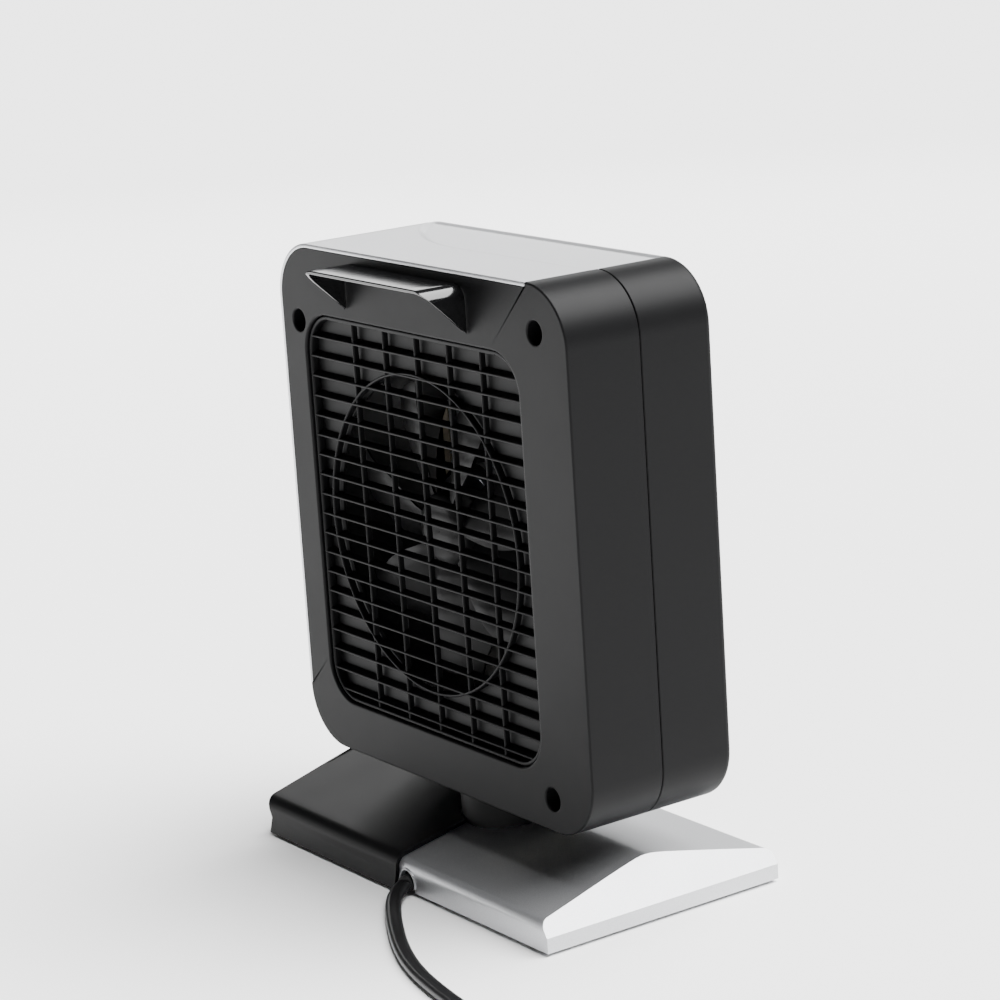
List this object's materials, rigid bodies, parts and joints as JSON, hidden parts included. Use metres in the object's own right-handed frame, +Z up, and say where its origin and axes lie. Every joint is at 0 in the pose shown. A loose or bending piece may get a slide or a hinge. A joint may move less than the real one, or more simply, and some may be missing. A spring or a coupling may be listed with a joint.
{
  "type": "ceramic space heater",
  "caption": "Flat table-top ceramic fan heater with a square louvred inlet, a hooded carry handle and a low ridged base it swivels on, with a coiled mains cord.",
  "frame": {"origin": "middle of the outline without its cord, at table level", "axes": "+Z up, -Y the way the warm air leaves (front), +Y the fan inlet and the cord (back), +X the side of the base that has the black cover"},
  "size_m": [0.4043, 0.174, 0.2417],
  "materials": {
    "black_satin": "fine matt moulded black plastic",
    "black_gloss": "polished black plastic",
    "black_inner": "plain black moulding, out of sight",
    "silver": "silver lacquer on moulded plastic, satin",
    "steel": "zinc plated steel",
    "brass": "nickelled brass",
    "aluminium": "plain aluminium fins",
    "ceramic": "unglazed heating ceramic",
    "resin": "heat-resistant resin",
    "rubber": "soft black rubber",
    "nylon": "natural white nylon",
    "amber": "clear amber lens",
    "cord": "black PVC cord, satin"
  },
  "bodies": {
    "base": {"base_shell": "silver", "base_wing": "black_satin", "base_plate": "black_inner", "foot_1": "rubber", "foot_2": "rubber", "foot_3": "rubber", "foot_4": "rubber", "base_screw_1": "steel", "base_screw_4": "steel", "swivel_post": "black_satin", "thrust_washer": "nylon", "retaining_ring": "steel", "slotted_lever": "steel", "tip_over_spring": "steel", "tip_over_switch": "nylon", "terminal_block": "nylon", "strain_relief": "rubber", "mains_cord": "cord", "cord_coil": "cord", "mains_plug": "black_satin", "plug_pin_left": "brass", "plug_pin_right": "brass"},
    "head": {"front_shell": "black_satin", "rear_shell": "black_satin", "silver_band": "silver", "rear_screw_top_left": "steel", "rear_screw_top_right": "steel", "rear_screw_bottom_right": "steel", "inlet_grille": "black_satin", "inlet_baffle": "black_inner", "outlet_grille": "black_satin", "carry_handle": "black_gloss", "fan_motor": "steel", "fan_duct": "black_inner", "motor_bracket": "black_inner", "fin_pack_1": "aluminium", "fin_pack_2": "aluminium", "fin_pack_3": "aluminium", "ceramic_bar_1": "ceramic", "ceramic_bar_2": "ceramic", "element_frame": "resin", "terminal_live": "brass", "terminal_neutral": "brass", "thermal_cut_out": "steel", "thermostat": "nylon", "function_switch": "nylon", "oscillation_switch": "nylon", "pilot_lens": "amber", "oscillation_motor": "steel", "oscillation_bracket": "steel"},
    "fan": {"fan_impeller": "black_inner", "motor_shaft": "steel"},
    "thermostat_knob": {"thermostat_knob": "black_gloss"},
    "function_knob": {"function_knob": "black_gloss"},
    "oscillation_button": {"oscillation_button": "black_gloss"},
    "drive_crank": {"drive_crank": "nylon"},
    "tip_over_plunger": {"tip_over_plunger": "nylon"}
  },
  "joints": [
    {"name": "swivel", "type": "hinge", "parent": "base", "child": "head", "pos_m": [-0.00592, 0, 0.0367], "axis": [0, 0, 1], "range_deg": [-28, 28]},
    {"name": "fan_spin", "type": "hinge", "parent": "head", "child": "fan", "pos_m": [0.00108, 0.0172, 0.1357], "axis": [0, 1, 0], "continuous": true},
    {"name": "thermostat_turn", "type": "hinge", "parent": "head", "child": "thermostat_knob", "pos_m": [-0.08342, -0.0325, 0.1787], "axis": [0, 1, 0], "range_deg": [0, 270]},
    {"name": "function_turn", "type": "hinge", "parent": "head", "child": "function_knob", "pos_m": [-0.08342, -0.0325, 0.1417], "axis": [0, 1, 0], "range_deg": [0, 135]},
    {"name": "oscillation_press", "type": "slide", "parent": "head", "child": "oscillation_button", "axis": [0, 1, 0], "range_m": [0, 0.0025], "stiffness_N_per_m": 400, "springref_m": -0.001},
    {"name": "crank_turn", "type": "hinge", "parent": "head", "child": "drive_crank", "pos_m": [-0.03792, 0, 0.05], "axis": [0, 0, 1], "continuous": true},
    {"name": "tip_over", "type": "slide", "parent": "base", "child": "tip_over_plunger", "axis": [0, 0, 1], "range_m": [-0.003, 0], "stiffness_N_per_m": 120, "springref_m": -0.005, "deforming": ["tip_over_spring"]}
  ]
}
